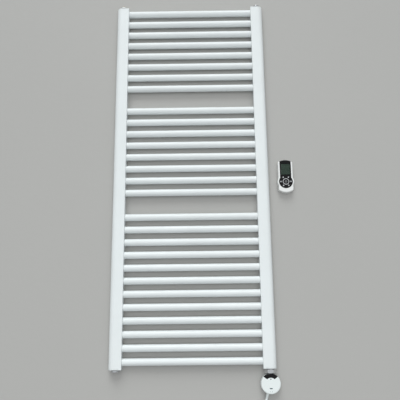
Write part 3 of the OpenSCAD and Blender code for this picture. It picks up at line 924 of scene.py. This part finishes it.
class TOWELRAIL_OT_tubes(bpy.types.Operator):
    """Build the cross tubes with their weld fillets"""
    bl_idname = "towelrail.tubes"
    bl_label = "Cross Tubes"

    def execute(self, context):
        fillet = context.scene.rail_sizes.weld_fillet
        low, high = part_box("tubes_upper")
        radius = (high.z - low.z) / 2
        half = high.x
        pitch = (high.y - low.y - 2 * radius) / 7
        steps = 5
        rise = []
        for i in range(steps + 1):
            turn = math.pi / 2 * i / steps
            rise.append((radius + fillet * (1 - math.sin(turn)),
                         fillet * (1 - math.cos(turn))))
        profile = [(r, -half + h) for r, h in rise]
        profile += [(r, half - h) for r, h in reversed(rise)]
        pattern = lathe(profile, vertices=56)
        for group, count in (("upper", 8), ("middle", 8), ("lower", 12)):
            low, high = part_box(f"tubes_{group}")
            tubes = []
            for i in range(count):
                tube = copy_of(pattern)
                aim(tube, (1, 0, 0), (0, high.y - radius - i * pitch, RAIL_DEPTH / 2))
                tubes.append(tube)
            finish_piece(join(tubes), f"cross_tubes_{group}", "rail", "white_enamel",
                         "Baked Enamel", f"tubes_{group}")
        bpy.data.objects.remove(pattern)
        return {"FINISHED"}


class TOWELRAIL_OT_ports(bpy.types.Operator):
    """Build the plugs, the vent, the element's nut and the washers"""
    bl_idname = "towelrail.ports"
    bl_label = "Port Fittings"

    def execute(self, context):
        finish_nodes("rail", ("blanking_plugs", "port_plugs", "chrome", "Polished Chrome",
                              0.2 * MM, 2, 40))
        low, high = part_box("element_nut")
        centre = middle("element_nut")
        flats = high.z - low.z
        corner = flats / 2 / math.cos(math.radians(30))
        hex_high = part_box("port_washers")[0].y
        hex_low = hex_high - HEX_THICK
        hexagon = drum(corner, hex_low, hex_high, (centre.x, centre.z), vertices=6,
                       axis="Y")
        open_mesh()
        bpy.ops.transform.rotate(value=math.radians(30), orient_axis="Y",
                                 center_override=(centre.x, (hex_low + hex_high) / 2,
                                                  centre.z))
        bpy.ops.object.mode_set(mode="OBJECT")
        chamfer = lathe([(corner - 2.4 * MM, 0), (corner + 0.4 * MM, HEX_CHAMFER),
                         (corner + 0.4 * MM, HEX_THICK - HEX_CHAMFER),
                         (corner - 2.4 * MM, HEX_THICK)], vertices=96)
        aim(chamfer, (0, -1, 0), (centre.x, hex_high, centre.z))
        combine(hexagon, chamfer, "INTERSECT")
        soften(clean(hexagon), 0.3 * MM, 2, 25)
        clean(hexagon)
        neck = drum(6 * MM, low.y, hex_low + 1 * MM, (centre.x, centre.z), axis="Y")
        thread = mm((9.25, 0))
        for i in range(7):
            start = 1.2 + 1.5 * i
            thread += mm((9.25, start), (8.5, start + 0.5), (9.25, start + 1.0))
        thread += mm((9.25, 12.5), (8.4, 13.5))
        shank = aim(lathe(thread), (0, 1, 0), (centre.x, hex_high - 1e-5, centre.z))
        finish_piece(join([hexagon, neck, shank]), "element_hexagon", "rail", "chrome",
                     "Polished Chrome", "element_nut")

        finish_nodes("rail", ("port_washers", "port_seals", "washer_rubber", "Seal Rubber",
                              0.3 * MM, 3),
                     ("vent_body", "vent_plug", "chrome", "Polished Chrome", 0.25 * MM))
        finish_nodes("vent_spout", ("vent_spout", "vent_nozzle", "white_plastic",
                                    "Head Moulding", 0.25 * MM))
        finish_nodes("vent_screw", ("vent_screw", "vent_key_screw", "brass", "Vent Brass",
                                    0.2 * MM))
        dress_nodes({"Drawn Steel": ["heating_rod", "temperature_probe"]})
        return {"FINISHED"}


class TOWELRAIL_OT_head(bpy.types.Operator):
    """Build the round control head"""
    bl_idname = "towelrail.head"
    bl_label = "Control Head"

    def execute(self, context):
        soft = context.scene.rail_sizes.plastic_soften
        finish_nodes("rail", ("head_front_cover", "head_cover", "white_plastic",
                              "Head Moulding", soft, 2, 40))
        # dark slate discs sit inside the two blind dots on the cover: painted shade standing in
        # for the shadow in the dots' hollows
        dot_shades = []
        for side in (-1, 1):
            dot_shade = lathe(mm((0.75, 0), (0.85, 0.1), (0.6, 0.28)), vertices=24)
            dot_shades.append(aim(dot_shade, (0, 0, 1), HEAD + Vector(
                (side * 2.8 * MM, -22 * MM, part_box("head_front_cover")[1].z - 0.58 * MM))))
        finish_piece(join(dot_shades), "head_dot_shade_discs", "rail", "grey_key", "Slate Key")
        finish_nodes("rail", ("receiver_window", "head_window", "dark_window",
                              "Smoked Window", soft, 2, 40),
                     ("head_back_shell", "head_shell", "white_plastic", "Head Moulding",
                      soft, 2, 40))
        finish_nodes("power_key", ("power_key", "head_push_key", "grey_key", "Slate Key",
                                   0.35 * MM, 3, 40))
        dress_nodes({"Status Lens": ["status_lens"], "Seal Rubber": ["head_seal"],
                     "Part Black": ["power_switch", "infrared_receiver"],
                     "Relay Blue": ["power_relay"], "Terminal Ivory": ["terminal_block"],
                     "Circuit Board": ["control_board"], "Drawn Steel": ["head_screws"],
                     "Black Oxide": ["lock_screw"]})
        return {"FINISHED"}


def hull(objects):
    """Join objects and wrap them in one convex skin."""
    obj = join(objects)
    open_mesh()
    bpy.ops.mesh.convex_hull()
    bpy.ops.mesh.select_all(action="SELECT")
    bpy.ops.mesh.remove_doubles(threshold=0.06 * MM)
    bpy.ops.mesh.dissolve_limited(angle_limit=math.radians(0.3))
    close_mesh()
    return obj


def arch_block(half_width, low_z, high_z, radius=REMOTE_TOP_ARCH,
               middle_y=REMOTE_TOP_MIDDLE, end=1):
    """A straight block from the key field's centre to an arched end."""
    far = REMOTE.y + end * 80 * MM
    part = block((REMOTE.x - half_width, min(REMOTE.y, far), low_z),
                 (REMOTE.x + half_width, max(REMOTE.y, far), high_z))
    arch = drum(radius, low_z - 1 * MM, high_z + 1 * MM, (REMOTE.x, REMOTE.y + middle_y),
                vertices=256)
    return combine(part, arch, "INTERSECT")


def outline_parts(low_z, high_z, inset):
    """Blocks and drums whose skin is the remote's outline without its round middle."""
    half = REMOTE_HALF - inset
    corner = REMOTE_CORNER - inset
    away = half - corner
    parts = []
    for end, radius, middle_y in ((1, REMOTE_TOP_ARCH - inset, REMOTE_TOP_MIDDLE),
                                  (-1, REMOTE_FOOT_ARCH - inset, REMOTE_FOOT_MIDDLE)):
        parts.append(arch_block(away * radius / (radius - corner), low_z, high_z,
                                radius, middle_y, end))
        rise = math.sqrt((radius - corner) ** 2 - away ** 2)
        for side in (-1, 1):
            parts.append(drum(corner, low_z, high_z, (
                REMOTE.x + side * away, REMOTE.y + middle_y + end * rise), vertices=40))
    return parts


def remote_solid(low_z, high_z, inset=0.0, round_low=0.0, round_top=0.0):
    """The remote's outline between two heights, with rounded ends."""
    levels = []
    for base, radius, way in ((low_z, round_low, 1), (high_z, round_top, -1)):
        count = 5 if radius else 0
        rim = []
        for i in range(count + 1):
            turn = math.pi / 2 * i / max(count, 1)
            rim.append((base + way * radius * (1 - math.cos(turn)),
                        inset + radius * (1 - math.sin(turn))))
        levels += rim if way > 0 else rim[::-1]
    middle_z = (low_z + high_z) / 2
    parts = []
    for z, away in levels:
        parts += outline_parts(min(z, middle_z), max(z, middle_z), away)
    bulge = lathe([(REMOTE_BULGE - away, z) for z, away in levels], vertices=160)
    bulge.location = (REMOTE.x, REMOTE.y + REMOTE_BULGE_MIDDLE, 0)
    return clean(combine(hull(parts), freeze(bulge), "UNION"))


def bevel_rim(obj, height, width, segments):
    """Round the outline edge at one height."""
    only(obj)
    open_mesh()
    bpy.ops.mesh.remove_doubles(threshold=SAME_PLACE)
    bpy.ops.mesh.dissolve_limited(angle_limit=math.radians(0.3))
    bpy.ops.mesh.select_all(action="DESELECT")
    bpy.ops.mesh.select_mode(type="EDGE")
    bpy.ops.mesh.edges_select_sharp(sharpness=math.radians(40))
    bpy.ops.object.mode_set(mode="OBJECT")
    for edge in obj.data.edges:
        a, b = (obj.data.vertices[v].co for v in edge.vertices)
        if max(abs(a.z - height), abs(b.z - height)) > SAME_PLACE:
            edge.select = False
    bpy.ops.object.mode_set(mode="EDIT")
    bpy.ops.mesh.bevel(offset=width, segments=segments, profile=0.5, affect="EDGES")
    bpy.ops.object.mode_set(mode="OBJECT")
    return obj


def across(half_width, from_y, to_y, low_z, high_z):
    """A block across the remote, placed from the middle of its key field."""
    return block((REMOTE.x - half_width, REMOTE.y + from_y, low_z),
                 (REMOTE.x + half_width, REMOTE.y + to_y, high_z))


def field(radius, low_z, high_z):
    """A drum round the middle of the remote's key field."""
    return drum(radius, low_z, high_z, (REMOTE.x, REMOTE.y), vertices=128)


class TOWELRAIL_OT_remote_case(bpy.types.Operator):
    """Build the remote's case, face, display and battery cover"""
    bl_idname = "towelrail.remote_case"
    bl_label = "Remote Case"

    def execute(self, context):
        sizes = context.scene.rail_sizes
        soft = sizes.plastic_soften
        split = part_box("remote_front_shell")[0].z
        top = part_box("remote_front_shell")[1].z
        face_low, face_high = (corner.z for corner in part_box("remote_face"))

        shell = remote_solid(split + 0.15 * MM, top, 0, 0.3 * MM, sizes.remote_round)
        combine(shell, remote_solid(split - 1 * MM, face_low - 0.2 * MM, REMOTE_WALL),
                "DIFFERENCE")
        # the recess for the face, the well under it, and the gap for the end window
        above, below = face_high + 5 * MM, face_low - 1 * MM
        opening = across(FACE_HALF, 0, 80 * MM, face_low, above)
        combine(opening, field(FACE_ROUND, face_low, above), "UNION")
        combine(shell, opening, "DIFFERENCE")
        well = across(FACE_HALF - 1.5 * MM, 0, 61 * MM, below, face_high)
        combine(well, field(FACE_ROUND - 1.5 * MM, below, face_high), "UNION")
        combine(shell, well, "DIFFERENCE")
        end_gap = across(FACE_HALF, 60 * MM, 80 * MM, split - 1 * MM, above)
        combine(shell, end_gap, "DIFFERENCE")
        soften(clean(shell), 0.2 * MM, 2, 50)
        finish_piece(shell, "remote_upper_case", "remote", "remote_white", "Remote White",
                     "remote_front_shell")

        base = remote_solid(0, split, 0, 1.6 * MM, 0.3 * MM)
        combine(base, remote_solid(1.6 * MM, split + 1 * MM, REMOTE_WALL), "DIFFERENCE")
        cover_low, cover_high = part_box("remote_battery_cover")
        slot = block((cover_low.x - 0.1 * MM, cover_low.y - 5 * MM, -1 * MM),
                     (cover_high.x + 0.1 * MM, cover_high.y + 0.1 * MM, 1.7 * MM))
        combine(base, slot, "DIFFERENCE")
        soften(clean(base), 0.2 * MM, 2, 50)
        finish_piece(base, "remote_lower_case", "remote", "remote_white", "Remote White",
                     "remote_back_shell")

        cover = smoothed_node("remote_battery_cover", 0.2 * MM)
        for i in range(6):
            y = cover_low.y + (12 + 2.2 * i) * MM
            groove = block((REMOTE.x - 8 * MM, y, -1 * MM),
                           (REMOTE.x + 8 * MM, y + 1.0 * MM, 0.5 * MM))
            combine(cover, groove, "DIFFERENCE")
        finish_piece(cover, "remote_battery_lid", "remote_battery_cover", "remote_white",
                     "Remote White", "remote_battery_cover")

        face = arch_block(FACE_HALF - 0.1 * MM, face_low, face_high)
        combine(face, field(FACE_ROUND - 0.1 * MM, face_low, face_high), "UNION")
        bevel_rim(face, face_high, 0.5 * MM, 3)
        glass_low, glass_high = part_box("remote_display_glass")
        combine(face, block((glass_low.x - 0.1 * MM, glass_low.y - 0.1 * MM, 0),
                            (glass_high.x + 0.1 * MM, glass_high.y + 0.1 * MM, 1)),
                "DIFFERENCE")
        for word in KEY_WORDS:
            spot = middle(f"remote_key_{word}")
            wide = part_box(f"remote_key_{word}")[1].x - spot.x
            hole = 7.9 * MM if word == "center" else wide - 0.7 * MM
            combine(face, drum(hole, 0, 1, (spot.x, spot.y), vertices=64), "DIFFERENCE")
        soften(face, 0.15 * MM, 2, 55)
        finish_piece(face, "remote_front_face", "remote", "remote_black", "Remote Black",
                     "remote_face")

        finish_nodes("remote", ("remote_emitter_window", "remote_end_window", "dark_window",
                                "Smoked Window", soft),
                     ("remote_display_glass", "remote_display_pane", "display_glass",
                      "Display Pane", 0.12 * MM))
        trim = lathe(mm((8.3, 0), (10.3, 0), (10.3, 0.3), (10.0, 0.5), (8.6, 0.5), (8.3, 0.3),
                        (8.3, 0)), vertices=96, closed=True)
        aim(trim, (0, 0, 1), (REMOTE.x, REMOTE.y, face_high))
        finish_piece(trim, "remote_key_ring", "remote", "silver_print", "Silver Print",
                     "remote_ring")
        dress_nodes({"Display Panel": ["remote_display"], "Seal Rubber": ["remote_keypad_mat"],
                     "Circuit Board": ["remote_board"], "Battery Sleeve": ["remote_batteries"],
                     "Bright Nickel": ["remote_battery_contacts"]})
        return {"FINISHED"}


class TOWELRAIL_OT_remote_keys(bpy.types.Operator):
    """Build the remote's seven push keys"""
    bl_idname = "towelrail.remote_keys"
    bl_label = "Remote Keys"

    def execute(self, context):
        low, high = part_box("remote_key_left")
        base, top = low.z, high.z
        flange = (high.x - low.x) / 2
        radius = flange - 0.9 * MM
        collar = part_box("remote_face")[0].z - 0.05 * MM
        height = top - base
        small = lathe([(flange, 0), (flange, collar - base), (radius, collar - base),
                       (radius, height - 0.7 * MM), (radius * 0.93, height - 0.4 * MM),
                       (radius * 0.75, height - 0.15 * MM), (radius * 0.4, height - 0.03 * MM),
                       (radius * 0.1, height)], vertices=40)
        for word in KEY_WORDS[1:]:
            node = f"remote_key_{word}"
            spot = middle(node)
            key = aim(copy_of(small), (0, 0, 1), (spot.x, spot.y, base))
            finish_piece(key, f"remote_push_{word}", node, "silver_print", "Silver Print", node)
        bpy.data.objects.remove(small)

        low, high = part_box("remote_key_center")
        wide = (high.x - low.x) / 2
        rim = wide - 0.7 * MM
        tall = high.z - low.z
        disc = lathe([(wide, 0), (wide, collar - base), (rim, collar - base),
                      (rim, tall - 0.9 * MM), (rim - 0.25 * MM, tall - 0.6 * MM),
                      (rim - 0.8 * MM, tall - 0.5 * MM), (5.2 * MM, tall - 0.75 * MM),
                      (4.6 * MM, tall - 0.8 * MM)], vertices=80)
        aim(disc, (0, 0, 1), (REMOTE.x, REMOTE.y, low.z))
        finish_piece(disc, "remote_center_disc", "remote_key_center", "remote_black",
                     "Remote Black", "remote_key_center")
        cap = lathe(mm((4.4, -0.9), (4.4, -0.3), (4.1, -0.08), (3.2, 0), (2.2, -0.15),
                       (1.0, -0.22)),
                    vertices=64)
        aim(cap, (0, 0, 1), (REMOTE.x, REMOTE.y, high.z))
        finish_piece(cap, "remote_center_cap", "remote_key_center", "silver_print", "Cap Grey")
        return {"FINISHED"}


class TOWELRAIL_PT_panel(bpy.types.Panel):
    """The towel rail's pieces, in the sidebar"""
    bl_label = "Towel Rail"
    bl_idname = "TOWELRAIL_PT_panel"
    bl_space_type = "VIEW_3D"
    bl_region_type = "UI"
    bl_category = "Towel Rail"

    def draw(self, context):
        for group in (context.scene.rail_sizes, context.scene.rail_colours):
            box = self.layout.box()
            for name in group.__annotations__:
                box.prop(group, name)
        for operator in OPERATORS:
            self.layout.operator(operator.bl_idname)


OPERATORS = (TOWELRAIL_OT_stage, TOWELRAIL_OT_cord, TOWELRAIL_OT_collectors,
             TOWELRAIL_OT_tubes, TOWELRAIL_OT_ports, TOWELRAIL_OT_head,
             TOWELRAIL_OT_remote_case, TOWELRAIL_OT_remote_keys)
CLASSES = (RailSizes, RailColours, *OPERATORS, TOWELRAIL_PT_panel)


def register():
    for cls in CLASSES:
        bpy.utils.register_class(cls)
    bpy.types.Scene.rail_sizes = bpy.props.PointerProperty(type=RailSizes)
    bpy.types.Scene.rail_colours = bpy.props.PointerProperty(type=RailColours)


def unregister():
    del bpy.types.Scene.rail_colours
    del bpy.types.Scene.rail_sizes
    for cls in reversed(CLASSES):
        bpy.utils.unregister_class(cls)


def main():
    """Build everything."""
    register()
    bpy.ops.towelrail.stage()
    bpy.ops.towelrail.cord()
    bpy.ops.towelrail.collectors()
    bpy.ops.towelrail.tubes()
    bpy.ops.towelrail.ports()
    bpy.ops.towelrail.head()
    bpy.ops.towelrail.remote_case()
    bpy.ops.towelrail.remote_keys()
    bpy.context.view_layer.update()


if __name__ == "__main__":
    main()
